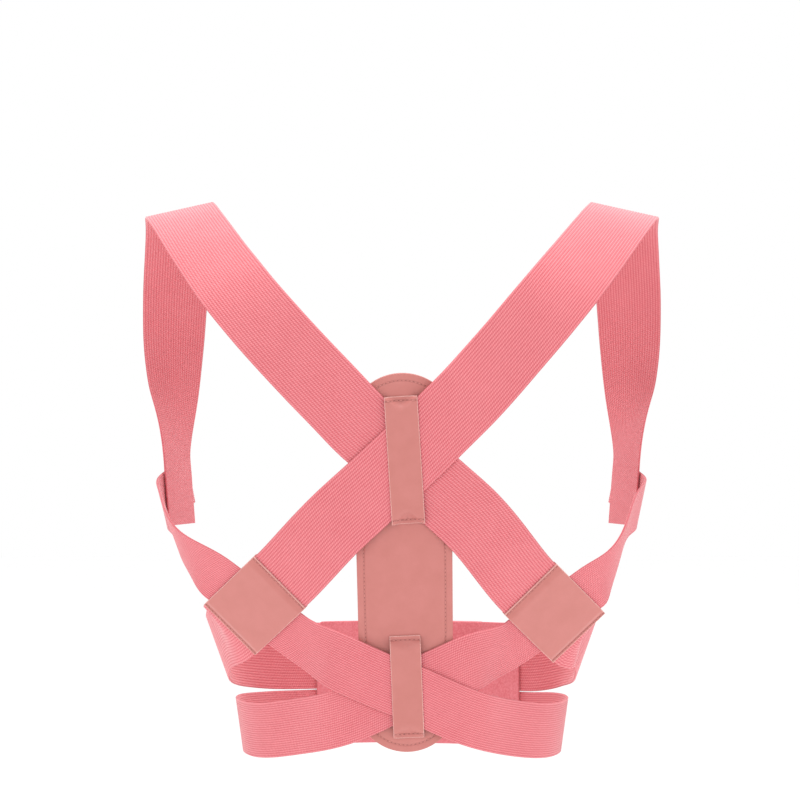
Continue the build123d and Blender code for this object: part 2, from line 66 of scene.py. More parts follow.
# --- webbing, panel and leather ---
strap_width = 48.0
band_width = 38.0
webbing = 1.6
ply_gap = 0.2
glue_line = 0.05
sewn_gap = 0.35
panel_length = 254.0
panel_top_width = 65.5
panel_bottom_width = 62.0
panel_top_radius = 36.0
panel_bottom_radius = 34.0
panel_corner_radius = 12.0
panel_centre = (1.7, 119.5)
panel_roll = math.radians(0.9)
lining_thickness = 0.8
foam_thickness = 2.4
cover_thickness = 1.0
panel_thickness = lining_thickness + foam_thickness + cover_thickness
panel_seam_inset = 4.8
panel_gap = 0.6
leather = 1.2
keepers = {
    "upper_keeper": ((22.0, strap_width * math.sqrt(2.0) + 17.1), (1.7, 188.7, 3.6), 0.165),
    "lower_keeper": ((20.5, band_width + 31.0), (3.3, 37.2, 2.3), 0.08),
}
keeper_tab = 4.0
keeper_ramp = 5.0
keeper_seam_inset = 2.8
patch_across = 49.0
patch_along = band_width + 21.5
patch_seam = 3.0
seam_pitch = 2.7

# --- where the straps run ---
armpit_out = 4.5
armpit_y = 49.5
armpit_down = 193.0
armpit_facing = (0.95, 0.31, -0.08)
armpit_slope = math.radians(17.0)
armpit_flat_down = band_width / 2.0 + 6.0
armpit_flat_back = strap_width / 2.0 + 3.0
upper_crossing = (1.3, 188.5)
lower_crossing = (2.5, 35.0)
patch_places = {-1: (-98.0, 90.5), 1: (102.0, 85.0)}
patch_facing = (0.38, -0.82, -0.4)
patch_skew = math.radians(79.0)
armpit_turn = {
    -1: (
        (-10.7, 6.6, 206.3, (0.95, -0.05, -0.29)),
        (6.7, -47.9, 232.2, (0.86, -0.32, -0.4)),
    ),
    1: (
        (-8.0, 4.0, 206.9, (0.98, 0.08, -0.17)),
        (15.2, -52.0, 246.3, (0.77, -0.54, -0.35)),
    ),
}
flat_places = (-32.0, -27.0, -13.0, 0.0, 13.0, 27.0, 32.0)
shoulder_rise = {
    -1: ((0.0, 0.0), (14.0, 10.5), (28.0, 22.5), (42.0, 37.0)),
    1: ((0.0, 0.0), (13.5, 13.0), (27.0, 26.5), (42.0, 41.5)),
}
shoulder_fall = {
    -1: ((47.0, 41.0), (31.0, 26.0), (15.5, 12.5)),
    1: ((46.0, 42.5), (31.0, 28.5), (15.5, 14.5)),
}
band_fall = ((0.0, 0.0), (13.0, 5.5), (26.0, 11.5), (38.0, 16.5))
band_rise = ((40.0, 17.0), (28.0, 11.5), (14.0, 5.5))
shoulder_climb = {
    -1: (
        (0.37, -2.4, 115.0, (0.0, -1.0, 0.0)),
        (0.682, 11.1, 62.0, (0.0, -1.0, 0.16)),
        (0.825, 33.5, 34.0, (0.08, -0.85, 0.5)),
    ),
    1: (
        (0.351, -2.5, 116.0, (0.0, -1.0, 0.0)),
        (0.653, 11.1, 62.0, (0.0, -1.0, 0.16)),
        (0.805, 33.5, 34.0, (0.08, -0.85, 0.5)),
    ),
}

# --- closure and levels ---
closure_fabric = 2.0
loop_pile = 0.8
hook_tape = 1.0
closure_height = strap_width + band_width + 3.0
closure_middle = 22.6
band_lap = 12.0
body_gap = 0.3
left_panel_outer_edge = -60.0
flap_root = -1.5
flap_tip = 60.0
right_panel_outer_edge = 84.0
right_panel_inner_edge = -6.0
closure_top = closure_middle + closure_height / 2.0
upper_band_z = closure_top - 1.0 - strap_width / 2.0
waist_band_z = upper_band_z - strap_width / 2.0 - 0.5 - band_width / 2.0
loop_bottom = closure_fabric + glue_line
hook_bottom = loop_bottom + loop_pile + body_gap
left_panel_lift = hook_bottom + hook_tape + glue_line
left_bands_lift = left_panel_lift + closure_fabric + ply_gap
right_bands_lift = closure_fabric + ply_gap
under_lift = panel_gap
over_lift = panel_gap + webbing + ply_gap
keeper_lift = over_lift + webbing + ply_gap
patch_strap_lift = leather + sewn_gap + glue_line
patch_tunnel_lift = patch_strap_lift + webbing + ply_gap
patch_cover_lift = patch_tunnel_lift + webbing + sewn_gap


def unit(vectors):
    """Each vector scaled to length one."""
    vectors = np.asarray(vectors, float)
    return vectors / np.linalg.norm(vectors, axis=-1, keepdims=True)


def smooth_step(share):
    """0 below 0, 1 above 1, and 3 s squared minus 2 s cubed between."""
    share = np.clip(share, 0.0, 1.0)
    return share * share * (3.0 - 2.0 * share)


# --- places on the body ---
def half_width(z):
    """The waist's half width, growing with a power of the height towards the ribs."""
    rise = max(z, 0.0) / rib_height
    return waist_half_width + (rib_half_width - waist_half_width) * rise ** rib_flare


def on_body(side, angle, z, lift=0.0):
    """A point of the body's ellipse at a height, angle 0 at the spine and 180 at the front, and its normal."""
    turn = math.radians(angle)
    wide = half_width(z)
    widening = (half_width(z + 1.0) - half_width(z - 1.0)) / 2.0
    if angle <= 90.0:
        deep = side_line + waist_back + back_lean * z
        deepening = back_lean
    else:
        deep = waist_front - side_line
        deepening = 0.0
    place = np.array([side * wide * math.sin(turn), side_line - deep * math.cos(turn), z])
    slope = math.sin(turn) ** 2 * widening / wide + math.cos(turn) ** 2 * deepening / deep
    facing = unit([side * math.sin(turn) / wide, -math.cos(turn) / deep, -slope])
    return place + facing * lift, facing


def on_back(x, z, lift=0.0):
    """The point on the back of the body at a given x and height."""
    return on_body(math.copysign(1.0, x), math.degrees(math.asin(abs(x) / half_width(z))), z, lift)


def on_panel(x, z, lift=0.0):
    """A point above the outer face of the spine panel."""
    facing = unit([0.0, -1.0, -back_lean])
    skin = np.array([x, -(waist_back + back_lean * z), z])
    return skin + facing * (panel_thickness + lift), facing


def on_front(x, z, lift=0.0):
    """A point on the upright ellipse that the closure follows."""
    deep = waist_front - side_line
    reach = deep * math.sqrt(1.0 - (x / closure_half_width) ** 2)
    facing = unit([x / closure_half_width ** 2, reach / deep ** 2, 0.0])
    return np.array([x, side_line + reach, z]) + facing * lift, facing


def patch_frame(side):
    """Centre of the patch on the skin, the shoulder strap's way up, the side strap's way inward, and outward."""
    centre = on_back(*patch_places[side])[0]
    outward = unit([side * patch_facing[0], patch_facing[1], patch_facing[2]])
    crossing, facing = on_panel(*upper_crossing)
    up = unit(crossing - centre)
    up = unit(up - outward * up.dot(outward))
    inward = np.cross(outward, up) * side
    turn = math.pi / 2.0 - patch_skew
    return centre, up, unit(inward * math.cos(turn) + up * math.sin(turn)), outward


def on_patch(side, along_strap, along_band, lift):
    """A point in the patch's flat frame."""
    centre, up, inward, outward = patch_frame(side)
    return centre + up * along_strap + inward * along_band + outward * lift, outward


def on_shoulder(side, inward, y, down, facing):
    """A point on the shoulder, measured inward and down from the top of the strap."""
    place = [side * (shoulder_half_span - inward), y, shoulder_top - down]
    return np.array(place), unit([side * facing[0], facing[1], facing[2]])


def on_climb(side, share, forward, down, facing):
    """A point between the back and the shoulder, measured forward of the plane that the panel lies on."""
    inward = shoulder_half_span * (1.0 - share)
    back = waist_back + back_lean * (shoulder_top - down)
    return on_shoulder(side, inward, forward - back, down, facing)


def on_armpit(side, down, back, lift=0.0):
    """A point in the flat place where the shoulder strap and the side strap are sewn together."""
    centre = np.array([side * (shoulder_half_span + armpit_out), armpit_y, shoulder_top - armpit_down])
    outward = unit([side * armpit_facing[0], armpit_facing[1], armpit_facing[2]])
    rearward = unit([side * armpit_facing[1], -armpit_facing[0], 0.0])
    upright = np.cross(rearward, outward) * side
    along_band = rearward * math.cos(armpit_slope) - upright * math.sin(armpit_slope)
    return centre - upright * down + along_band * back + outward * lift, outward


def on_closure(side, height):
    """The last points of a band, where it lies on the closure panel of its side."""
    edge = abs(left_panel_outer_edge if side < 0 else right_panel_outer_edge)
    lift = left_bands_lift if side < 0 else right_bands_lift
    return [on_front(side * reach, height, lift) for reach in np.linspace(edge - band_lap, edge + 2.0, 4)]


def on_crossing(place, lift, toward, reaches, fall=1.0):
    """Points over the panel, each so far out towards one side of a crossing and so far up or down from it."""
    return [on_panel(place[0] + toward * out, place[1] + fall * rise, lift) for out, rise in reaches]


# --- routes ---
def natural_spline(knots, values, places):
    """Natural cubic spline through the rows of values at the knots, read at the given places."""
    step = np.diff(knots)
    slope = np.diff(values, axis=0) / step[:, None]
    count = len(knots)
    system = np.eye(count)
    target = np.zeros_like(values)
    for i in range(1, count - 1):
        system[i, i - 1:i + 2] = (step[i - 1], 2.0 * (step[i - 1] + step[i]), step[i])
        target[i] = 6.0 * (slope[i] - slope[i - 1])
    bend = np.linalg.solve(system, target)
    cell = np.clip(np.searchsorted(knots, places, side="right") - 1, 0, count - 2)
    ahead = (knots[cell + 1] - places)[:, None]
    behind = (places - knots[cell])[:, None]
    wide = step[cell][:, None]
    cubic = (bend[cell] * ahead ** 3 + bend[cell + 1] * behind ** 3) / (6.0 * wide)
    left = (values[cell] / wide - bend[cell] * wide / 6.0) * ahead
    right = (values[cell + 1] / wide - bend[cell + 1] * wide / 6.0) * behind
    return cubic + left + right


class Route:
    """The middle line of a strap's inner face and the way it faces, on a spline through chosen stations."""

    def __init__(self, stations):
        places = np.array([place for place, facing in stations])
        facings = np.array([facing for place, facing in stations])
        knots = np.concatenate([[0.0], np.cumsum(np.linalg.norm(np.diff(places, axis=0), axis=1))])
        fine = np.linspace(0.0, knots[-1], 3001)
        self.places = natural_spline(knots, places, fine)
        self.facings = natural_spline(knots, facings, fine)
        steps = np.linalg.norm(np.diff(self.places, axis=0), axis=1)
        self.run = np.concatenate([[0.0], np.cumsum(steps)])
        self.length = self.run[-1]

    def read(self, rows, distances):
        """Rows kept along the route, read at any distances by straight interpolation."""
        return np.stack([np.interp(distances, self.run, rows[:, k]) for k in range(3)], axis=-1)

    def frames(self, distances):
        """Places, and unit vectors ahead, sideways and outward, at distances along the route."""
        distances = np.asarray(distances, float)
        before = self.read(self.places, np.maximum(distances - 0.5, 0.0))
        after = self.read(self.places, np.minimum(distances + 0.5, self.length))
        ahead = unit(after - before)
        facing = self.read(self.facings, distances)
        outward = unit(facing - ahead * (facing * ahead).sum(axis=-1, keepdims=True))
        return self.read(self.places, distances), ahead, np.cross(ahead, outward), outward

    def nearest(self, point):
        """The distance along the route at which it passes nearest to a point."""
        return self.run[np.argmin(np.linalg.norm(self.places - np.asarray(point), axis=1))]

    def at_side(self, side, y):
        """The distance along the route at which it passes a y, low on one side of the body."""
        change = np.nonzero(np.diff(np.sign(self.places[:, 1] - y)))[0]
        low = [k for k in change if self.places[k, 0] * side > 0.0 and self.places[k, 2] < rib_height / 2.0]
        return self.run[low[0]]


def shoulder_route(side, crossing_lift):
    """The shoulder strap over one shoulder, from the opposite front closure to its own armpit."""
    other = -side
    return Route(
        on_closure(other, upper_band_z)
        + [on_body(other, 112.0, 48.0), on_body(other, 88.0, 55.0), on_body(other, 67.0, 68.0)]
        + [on_patch(other, along, 0.0, patch_strap_lift) for along in flat_places]
        + on_crossing(upper_crossing, crossing_lift, other, shoulder_fall[side], -1.0)
        + on_crossing(upper_crossing, crossing_lift, side, shoulder_rise[side])
        + [on_climb(side, *place) for place in shoulder_climb[side]]
        + [
            on_shoulder(side, 2.0, -30.0, 0.0, (0.2, -0.22, 0.95)),
            on_shoulder(side, -2.0, 8.0, 4.0, (0.25, 0.3, 0.92)),
            on_shoulder(side, -6.0, 40.0, 36.0, (0.3, 0.85, 0.45)),
            on_shoulder(side, -9.0, 56.0, 80.0, (0.45, 0.88, 0.12)),
            on_shoulder(side, -9.0, 60.0, 125.0, (0.75, 0.66, 0.0)),
        ]
        + [on_armpit(side, reach, 0.0) for reach in np.linspace(-armpit_flat_down, armpit_flat_down, 5)]
    )


def band_route(side, crossing_lift):
    """The side strap from one armpit through its own patch and the lower crossing to the opposite closure."""
    other = -side
    lap_lift = webbing + sewn_gap
    return Route(
        [on_armpit(side, 0.0, back, lap_lift) for back in np.linspace(-armpit_flat_back, armpit_flat_back, 5)]
        + [on_shoulder(side, *place) for place in armpit_turn[side]]
        + [on_patch(side, 0.0, along, patch_tunnel_lift) for along in flat_places]
        + on_crossing(lower_crossing, crossing_lift, side, band_rise)
        + on_crossing(lower_crossing, crossing_lift, other, band_fall, -1.0)
        + [
            on_back(other * 68.0, 8.0, 1.4 * crossing_lift),
            on_body(other, 62.0, 1.5, crossing_lift / 2.0),
            on_body(other, 90.0, 2.0),
            on_body(other, 112.0, 1.0),
        ]
        + on_closure(other, waist_band_z)[::-1]
    )


def closure_route(start_x, end_x):
    """The closure's curve on the skin between two x, walked towards +X."""
    return Route([on_front(x, closure_middle) for x in np.linspace(start_x, end_x, 13)])


shoulder_routes = {1: shoulder_route(1, over_lift), -1: shoulder_route(-1, under_lift)}
band_routes = {-1: band_route(-1, over_lift), 1: band_route(1, under_lift)}


# --- materials ---
def linear(code):
    """An sRGB hex colour as linear red, green, blue and alpha."""
    values = [int(code[k:k + 2], 16) / 255.0 for k in (1, 3, 5)]
    return [v / 12.92 if v <= 0.04045 else ((v + 0.055) / 1.055) ** 2.4 for v in values] + [1.0]


def add(tree, kind, settings=(), links=()):
    """Adds a node, sets its properties or its sockets' values, and links sockets to outputs."""
    node = tree.nodes.new(kind)
    for key, value in dict(settings).items():
        if isinstance(key, str) and hasattr(node, key):
            setattr(node, key, value)
        else:
            node.inputs[key].default_value = value
    for key, output in dict(links).items():
        tree.links.new(output, node.inputs[key])
    return node


def math_node(tree, operation, first, second=None):
    """One step of arithmetic on outputs or plain numbers."""
    settings = {"operation": operation}
    links = {}
    for key, value in ((0, first), (1, second)):
        if value is None:
            continue
        if isinstance(value, (int, float)):
            settings[key] = value
        else:
            links[key] = value
    return add(tree, "ShaderNodeMath", settings, links).outputs[0]


def new_material(name, shader_settings):
    """An empty material with one Principled shader, and its node tree."""
    material = bpy.data.materials.new(name)
    material.use_nodes = True
    tree = material.node_tree
    tree.nodes.clear()
    shader = add(tree, "ShaderNodeBsdfPrincipled", shader_settings)
    add(tree, "ShaderNodeOutputMaterial", {}, {"Surface": shader.outputs[0]})
    return material, tree, shader


def noise(tree, coordinates, scale, detail, **settings):
    """A noise read on Object coordinates."""
    values = {"Scale": scale, "Detail": detail, **settings}
    return add(tree, "ShaderNodeTexNoise", values, {"Vector": coordinates.outputs["Object"]}).outputs["Fac"]


def two_tones(tree, factor, low, dark, high, light):
    """A ramp from a dark to a light colour between two places."""
    ramp = add(tree, "ShaderNodeValToRGB", {}, {"Fac": factor})
    for stop, place, colour in zip(ramp.color_ramp.elements, (low, high), (dark, light)):
        stop.position = place
        stop.color = linear(colour)
    return ramp.outputs[0]


def raise_face(tree, shader, height, strength, distance):
    """Bump on the shader's normal, with its distance in millimetres."""
    bump = add(tree, "ShaderNodeBump", {"Strength": strength, "Distance": distance * MM}, {"Height": height})
    tree.links.new(bump.outputs[0], shader.inputs["Normal"])


def ribbed_elastic():
    """Polyester-covered elastic webbing, woven in lengthwise ribs: each rib is a row of slanted picks, with painted
    shade darker in the grooves and painted light on the raised picks, and the soft sheen of brushed filament yarn."""
    material, tree, shader = new_material("ribbed_elastic_webbing", {
        "Roughness": 0.78, "IOR": 1.5, "Specular IOR Level": 0.35,
        "Sheen Weight": 0.5, "Sheen Roughness": 0.4, "Sheen Tint": linear("#FFE9EA"),
    })
    place = add(tree, "ShaderNodeUVMap", {"uv_map": "weave"})
    split = add(tree, "ShaderNodeSeparateXYZ", {}, {0: place.outputs[0]})
    rib, run = split.outputs[0], split.outputs[1]          # in ribs across, in millimetres along
    in_rib = math_node(tree, "FRACT", rib)
    parity = math_node(tree, "MODULO", math_node(tree, "FLOOR", rib), 2.0)
    slant = math_node(tree, "MULTIPLY", math_node(tree, "SUBTRACT", in_rib, 0.5), 0.8)
    stagger = math_node(tree, "MULTIPLY", parity, 0.5)
    # A pick every 1.45 mm: real ones lie 0.7 mm apart, too fine to show.
    turns = math_node(tree, "DIVIDE", run, 1.45)
    phase = math_node(tree, "ADD", math_node(tree, "ADD", turns, slant), stagger)
    wave = math_node(tree, "SINE", math_node(tree, "MULTIPLY", phase, 2.0 * math.pi))
    pick = math_node(tree, "MULTIPLY_ADD", wave, 0.5)
    tree.nodes[-1].inputs[2].default_value = 0.5
    crown = math_node(tree, "SINE", math_node(tree, "MULTIPLY", in_rib, math.pi))
    raised = math_node(tree, "MULTIPLY", pick, crown)
    coordinates = add(tree, "ShaderNodeTexCoord")
    # Slow unevenness of the dye and the stretch, over 25 mm.
    uneven = noise(tree, coordinates, 1.0 / (25.0 * MM), 3.0, Roughness=0.6)
    # Painted highlights: single picks painted lighter at random, as glints where they catch the light.
    painted_glints = noise(tree, coordinates, 1.0 / (1.3 * MM), 1.0)
    # Painted shade: the raised picks and the rib crowns painted lighter, the grooves darker; the painted glints and
    # the dye's real unevenness are added to it.
    painted_light_and_dye = math_node(tree, "ADD", math_node(tree, "MULTIPLY", raised, 0.50),
                      math_node(tree, "MULTIPLY", crown, 0.20))
    for pattern, weight in ((uneven, 0.18), (painted_glints, 0.22)):
        painted_light_and_dye = math_node(tree, "ADD", painted_light_and_dye, math_node(tree, "MULTIPLY", pattern, weight))
    # The dark colour is the painted shade of the grooves, the light colour the painted light on the crowns of the
    # picks.
    tree.links.new(two_tones(tree, painted_light_and_dye, 0.05, "#BC4B55", 0.85, "#DC868B"), shader.inputs["Base Color"])
    raise_face(tree, shader, raised, 0.6, 0.22)
    return material


mottle_scale = 90.0          # of the leather's mottle, about 11 mm
cloth_broad_scale = 60.0     # of the cloths' slow unevenness, about 17 mm


def coated_leather(name, colour, dark, light):
    """Polyurethane-coated leather cloth, embossed with a fine pebble grain and calendered to a satin face."""
    material, tree, shader = new_material(name, {
        "Roughness": 0.5, "IOR": 1.5, "Specular IOR Level": 0.45, "Coat Weight": 0.08, "Coat Roughness": 0.35,
        "Sheen Weight": 0.08, "Sheen Roughness": 0.5,
    })
    coordinates = add(tree, "ShaderNodeTexCoord")
    # Pebbles 0.8 mm across: real ones are 0.3 mm, too fine to show.
    grain = add(tree, "ShaderNodeTexVoronoi", {"feature": "SMOOTH_F1", "Scale": 1.0 / (0.8 * MM), "Smoothness": 0.6},
                {"Vector": coordinates.outputs["Object"]})
    mottle = noise(tree, coordinates, mottle_scale, 4.0, Roughness=0.55)
    # Painted shade, partly real: along the pressed seams the leather is painted darker, for the pressed leather and
    # its needle holes and for the shade in the seam groove.
    seam = add(tree, "ShaderNodeAttribute", {"attribute_name": "seam_press_and_shade"})
    # The inputs of a colour mix are its factor, 0, and its colours, 6 and 7; its colour output is 2.
    seam_press_and_shade = add(tree, "ShaderNodeMix", {"data_type": "RGBA"}, {
        0: seam.outputs["Fac"], 6: two_tones(tree, mottle, 0.3, dark, 0.7, light)})
    seam_press_and_shade.inputs[7].default_value = linear(colour)
    tree.links.new(seam_press_and_shade.outputs[2], shader.inputs["Base Color"])
    height = math_node(tree, "ADD", grain.outputs["Distance"], math_node(tree, "MULTIPLY", mottle, 0.5))
    raise_face(tree, shader, height, 0.25, 0.10)
    roughness = add(tree, "ShaderNodeMapRange", {"To Min": 0.44, "To Max": 0.60}, {"Value": mottle})
    tree.links.new(roughness.outputs[0], shader.inputs["Roughness"])
    return material


def plain_cloth(name, dark, light, thread, depth, settings):
    """A plain face on Object coordinates: fine noise of about the thread's spacing over a broad one."""
    material, tree, shader = new_material(name, settings)
    coordinates = add(tree, "ShaderNodeTexCoord")
    fine = noise(tree, coordinates, 0.5 / (thread * MM), 2.0, Roughness=0.7)
    broad = noise(tree, coordinates, cloth_broad_scale, 2.0)
    mixed = math_node(tree, "ADD", math_node(tree, "MULTIPLY", fine, 0.7), math_node(tree, "MULTIPLY", broad, 0.3))
    tree.links.new(two_tones(tree, mixed, 0.35, dark, 0.65, light), shader.inputs["Base Color"])
    raise_face(tree, shader, fine, 0.7, depth)
    return material


elastic = ribbed_elastic()
# 6E3632 is painted along the seams: the pressed leather's darker colour together with painted shade in the seam
#                                    groove.
leather_face = coated_leather("rose_coated_leather", "#6E3632", "#B46B64", "#B9706A")
leather_edge = plain_cloth("raw_leather_edge", "#C08680", "#D7A69F", 0.5, 0.15,
                           {"Roughness": 0.9, "Sheen Weight": 0.2})
sewing_thread = plain_cloth("polyester_sewing_thread", "#B86E67", "#CE8A83", 0.4, 0.05, {"Roughness": 0.55})
core_foam = plain_cloth("closed_cell_foam", "#B87670", "#C4827C", 0.6, 0.1, {"Roughness": 0.95})
stay_plastic = plain_cloth("polypropylene_stay", "#D4D4D0", "#DEDEDB", 0.8, 0.02, {"Roughness": 0.4})
knit_lining = plain_cloth("knitted_lining", "#C47D7B", "#D5928F", 0.7, 0.12, {"Roughness": 0.9, "Sheen Weight": 0.3})
closure_cloth = plain_cloth("laminated_stretch_cloth", "#C9656D", "#D9838A", 0.7, 0.12,
                            {"Roughness": 0.8, "Sheen Weight": 0.3, "Sheen Roughness": 0.5})
pile_cloth = plain_cloth("brushed_loop_pile", "#C26C72", "#DE959A", 0.9, 0.5,
                         {"Roughness": 1.0, "Sheen Weight": 0.6, "Sheen Roughness": 0.4})
moulded_nylon = plain_cloth("moulded_nylon_hooks", "#BC6068", "#C46E77", 1.0, 0.02, {"Roughness": 0.35})


# --- meshes ---
def build(name, places, faces, materials, finishes=None, weave=None, seam_press_and_shade=None, crease=50.0):
    """A mesh object from whole arrays: places in millimetres, faces of four corners, a material number for each
    face, and for each vertex a place in the weave and how far the leather is pressed in, which also sets how much
    darker it is painted there, partly as painted shade."""
    corner = places[faces]
    centred = np.cross(corner[:, 1] - corner[:, 0], corner[:, 2] - corner[:, 0])
    volume = np.einsum("ij,ij->", corner[:, 0], centred)
    centred = np.cross(corner[:, 2] - corner[:, 0], corner[:, 3] - corner[:, 0])
    volume += np.einsum("ij,ij->", corner[:, 0], centred)
    if volume < 0.0:
        faces = faces[:, ::-1]
    mesh = bpy.data.meshes.new(name)
    mesh.vertices.add(len(places))
    mesh.vertices.foreach_set("co", (places * MM).astype(np.float32).ravel())
    mesh.loops.add(faces.size)
    mesh.loops.foreach_set("vertex_index", faces.astype(np.int32).ravel())
    mesh.polygons.add(len(faces))
    mesh.polygons.foreach_set("loop_start", np.arange(0, faces.size, 4, dtype=np.int32))
    for material in materials:
        mesh.materials.append(material)
    if finishes is not None:
        mesh.polygons.foreach_set("material_index", np.asarray(finishes, np.int32))
    mesh.update(calc_edges=True)
    mesh.polygons.foreach_set("use_smooth", np.ones(len(faces), bool))
    if weave is not None:
        layer = mesh.uv_layers.new(name="weave")
        layer.uv.foreach_set("vector", weave[faces.ravel()].astype(np.float32).ravel())
    if seam_press_and_shade is not None:
        attribute = mesh.attributes.new("seam_press_and_shade", "FLOAT", "POINT")
        attribute.data.foreach_set("value", seam_press_and_shade.astype(np.float32).ravel())
    mesh.set_sharp_from_angle(angle=math.radians(crease))
    piece = bpy.data.objects.new(name, mesh)
    bpy.context.scene.collection.objects.link(piece)
    return piece


def slab(name, outer, inner, materials, weave=None, seam_press_and_shade=None, crease=50.0, raw=0):
    """A closed sheet: an outer and an inner grid of the same shape, and a wall round their four edges. The wall
    takes the second material if there is one, and so do that many cells of the outer face along its edges."""
    rows, columns = outer.shape[:2]
    count = rows * columns
    index = np.arange(count).reshape(rows, columns)
    corners = (index[:-1, :-1], index[1:, :-1], index[1:, 1:], index[:-1, 1:])
    quads = np.stack(corners, axis=-1).reshape(-1, 4)
    rim = np.concatenate([index[0, :-1], index[:-1, -1], index[-1, :0:-1], index[:0:-1, 0]])
    following = np.roll(rim, -1)
    wall = np.stack([rim, following, following + count, rim + count], axis=-1)
    faces = np.concatenate([quads, quads[:, ::-1] + count, wall])
    finishes = np.zeros(len(faces), int)
    finishes[2 * len(quads):] = len(materials) - 1
    row, column = np.indices((rows - 1, columns - 1))
    nearest = np.minimum(np.minimum(row, rows - 2 - row), np.minimum(column, columns - 2 - column))
    finishes[:len(quads)][(nearest < raw).ravel()] = len(materials) - 1
    places = np.concatenate([outer.reshape(-1, 3), inner.reshape(-1, 3)])
    if weave is not None:
        weave = np.concatenate([weave.reshape(-1, 2)] * 2)
    if seam_press_and_shade is not None:
        seam_press_and_shade = np.concatenate([seam_press_and_shade.ravel(), np.zeros(count)])
    return build(name, places, faces, materials, finishes, weave, seam_press_and_shade, crease)


def fit_out(piece, body, slot, *nodes):
    """Says which body a piece rides on and which nodes it stands for; the material slot it is given is not used."""
    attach(piece, body)
    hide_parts(*nodes)
    return piece


def carry(route, distances, across, height):
    """A profile carried along a route: each point stands across from the middle line and height above it."""
    place, ahead, sideways, outward = route.frames(distances)
    shape = np.broadcast_shapes(np.shape(across), np.shape(height), (len(distances), 1))
    across = np.broadcast_to(across, shape)[..., None]
    height = np.broadcast_to(height, shape)[..., None]
    return place[:, None] + sideways[:, None] * across + outward[:, None] * height


def rounded_edge(distance, radius):
    """How far a rounded edge lies below its face at a distance in from the edge: a quarter circle."""
    inside = np.clip(radius - distance, 0.0, radius)
    return radius - np.sqrt(radius ** 2 - inside ** 2)


# --- ribbed webbing ---
rib_count = 25
rib_points = 4               # across each rib
outer_rib_depth = 0.30
inner_rib_depth = 0.22
selvedge = 0.7               # radius of the rounded side edges
drift = np.random.default_rng(11)


def webbing_strip(name, route, start, end, width, spacing=3.6):
    """Ribbed webbing along a route. Across, each rib's outer face is half an ellipse between two grooves, and the
    edges are rounded. Along, the width drifts by a few tenths of a millimetre in slow waves."""
    count = int(math.ceil((end - start) / spacing)) + 1
    distances = np.linspace(start, end, count)
    ribs = np.linspace(0.0, rib_count, rib_count * rib_points + 1)
    in_rib = 2.0 * (ribs % 1.0) - 1.0
    bulge = np.sqrt(np.clip(1.0 - in_rib ** 2, 0.0, 1.0))
    across = (ribs / rib_count - 0.5) * width
    from_edge = width / 2.0 - np.abs(across)
    edge = rounded_edge(from_edge, selvedge)
    waves = drift.uniform(35.0, 110.0, 6)
    phases = drift.uniform(0.0, 2.0 * math.pi, 6)
    wander = np.sin(2.0 * math.pi * distances[:, None] / waves + phases).sum(axis=1) / 6.0
    stretch = 1.0 + 0.006 * wander[:, None]
    outer = webbing - outer_rib_depth * (1.0 - bulge) - edge
    inner = inner_rib_depth * (1.0 - bulge) + edge * 0.8
    weave = np.stack(np.broadcast_arrays(ribs[None, :], distances[:, None]), axis=-1)
    return slab(
        name,
        carry(route, distances, across * stretch, outer),
        carry(route, distances, across * stretch, inner),
        [elastic], weave=weave, crease=80.0)


# --- seams ---
thread_dip = 0.12            # how far a seam's threads are sunk below the face


def seam_line(route, start, end, height, pitch=seam_pitch):
    """Centres, directions and outward normals of stitches in a straight line on a route's surface, between two
    places that are each a distance along and an offset sideways."""
    start = np.array(start, float)
    end = np.array(end, float)
    count = max(1, int(np.linalg.norm(end - start) / pitch))
    share = (np.arange(count) + 0.5)[:, None] / count
    spots = start + (end - start) * share
    place, ahead, sideways, outward = route.frames(spots[:, 0])
    centre = place + sideways * spots[:, 1:] + outward * height
    along = unit(ahead * (end - start)[0] + sideways * (end - start)[1])
    return centre, along, outward


def stitching(name, lines, body, *nodes, length=2.0, thickness=0.55, rise=0.28):
    """Lockstitches. Each is a thread whose section is an ellipse and whose line is a low arch that dips into the
    seam at both ends: rings of points along the stitch, carried to every place in the seam."""
    centre, along, outward = [np.concatenate([line[k] for line in lines]) for k in range(3)]
    sideways = np.cross(outward, along)
    stations = np.array([-0.5, -0.42, -0.25, 0.0, 0.25, 0.42, 0.5])
    girth = np.array([0.35, 0.8, 1.0, 1.0, 1.0, 0.8, 0.35]) * thickness / 2.0
    arch = rise * (1.0 - (2.0 * stations) ** 2) - thread_dip
    angles = np.arange(6) * math.pi / 3.0
    side = girth[:, None] * np.cos(angles)
    up = arch[:, None] + girth[:, None] * 0.8 * np.sin(angles)
    forward = np.broadcast_to((stations * length)[:, None], side.shape)
    ring_points = (forward[None, ..., None] * along[:, None, None]
                   + side[None, ..., None] * sideways[:, None, None]
                   + up[None, ..., None] * outward[:, None, None]
                   + centre[:, None, None])
    total, rings, round_points = ring_points.shape[:3]
    index = np.arange(rings * round_points).reshape(rings, round_points)
    turned = np.roll(index, -1, axis=1)
    sides = np.stack([index[:-1], index[1:], turned[1:], turned[:-1]], axis=-1).reshape(-1, 4)
    first, last = index[0], index[-1]
    caps = np.array([[first[0], first[1], first[2], first[3]], [first[0], first[3], first[4], first[5]],
                     [last[3], last[2], last[1], last[0]], [last[5], last[4], last[3], last[0]]])
    one = np.concatenate([sides, caps])
    faces = (one[None] + (np.arange(total) * rings * round_points)[:, None, None]).reshape(-1, 4)
    piece = build(name, ring_points.reshape(-1, 3), faces, [sewing_thread], crease=70.0)
    return fit_out(piece, body, "thread", *nodes)


def box_seam(route, first, last, half, height):
    """Four seam lines round a rectangle on a route's surface."""
    corners = [(first, -half), (last, -half), (last, half), (first, half)]
    return [seam_line(route, corners[k], corners[(k + 1) % 4], height) for k in range(4)]


